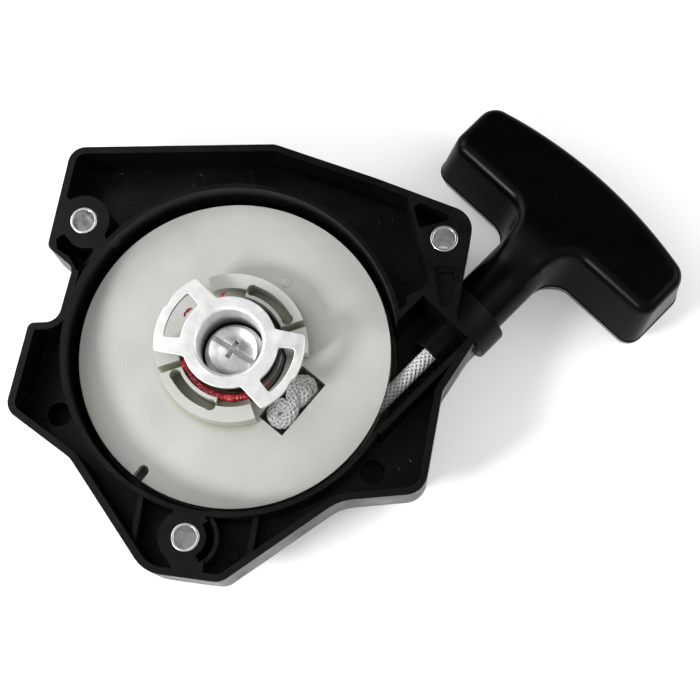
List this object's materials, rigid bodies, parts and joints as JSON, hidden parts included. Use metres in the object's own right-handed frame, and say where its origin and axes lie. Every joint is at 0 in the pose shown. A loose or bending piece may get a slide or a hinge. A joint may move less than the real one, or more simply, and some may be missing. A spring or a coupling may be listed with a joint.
{
  "type": "recoil starter",
  "caption": "Pull-rope recoil starter for a small engine: open moulded housing with rope reel, damped pawl catcher and a T-shaped pull handle.",
  "frame": {"origin": "on the reel's axis, in the plane of the mounting rim", "axes": "+Z along the reel's axis, out of the open side towards the engine; +X towards the handle's side; the rope leaves 45 degrees from +X towards +Y"},
  "size_m": [0.1682, 0.1224, 0.0311],
  "materials": {
    "housing_nylon": "satin moulded",
    "sleeve_steel": "zinc plated",
    "guide_nylon": "satin moulded",
    "eyelet_steel": "ground",
    "case_steel": "phosphated",
    "spring_steel": "blued strip",
    "insert_brass": "turned",
    "washer_zinc": "zinc plated",
    "screw_steel": "plated, cold formed",
    "rope_braid": "woven nylon",
    "reel_nylon": "translucent moulded",
    "knot_nylon": "fused braid",
    "greased_spring": "greased",
    "catcher_steel": "pressed, satin plated",
    "bearing_nylon": "moulded",
    "grip_plastic": "satin moulded"
  },
  "bodies": {
    "housing": {"housing_shell": "housing_nylon", "mount_sleeves": "sleeve_steel", "rope_guide": "guide_nylon", "guide_eyelet": "eyelet_steel", "spring_case": "case_steel", "spring_cover": "case_steel", "recoil_spring": "spring_steel", "post_insert": "insert_brass", "post_bush": "eyelet_steel", "post_washer": "washer_zinc", "lock_washer": "washer_zinc", "post_screw": "screw_steel", "rope_run": "rope_braid"},
    "reel": {"rope_reel": "reel_nylon", "reel_bush": "insert_brass", "rope_winding": "rope_braid", "rope_knot": "knot_nylon", "damper_spring": "greased_spring"},
    "catcher": {"pawl_catcher": "catcher_steel", "catcher_bearing": "bearing_nylon"},
    "handle": {"grip_upper_shell": "grip_plastic", "grip_lower_shell": "grip_plastic", "grip_screws": "washer_zinc", "rope_retainer": "washer_zinc", "rope_tail": "rope_braid", "grip_knot": "knot_nylon"}
  },
  "joints": [
    {"name": "handle_pull", "type": "slide", "parent": "housing", "child": "handle", "axis": [0.7071, 0.7071, 0], "range_m": [0, 0.52], "stiffness_N_per_m": 20, "springref_m": -0.5},
    {"name": "reel_spin", "type": "hinge", "parent": "housing", "child": "reel", "pos_m": [0, 0, -0.013], "axis": [0, 0, 1], "range_deg": [0, 1000]},
    {"name": "catcher_turn", "type": "hinge", "parent": "reel", "child": "catcher", "pos_m": [0, 0, -0.002], "axis": [0, 0, 1], "range_deg": [-270, 0], "stiffness_Nm_per_rad": 0.05}
  ],
  "couplings": [
    {"joint": "reel_spin", "follows": "handle_pull", "rad_per_m": 32.787}
  ]
}
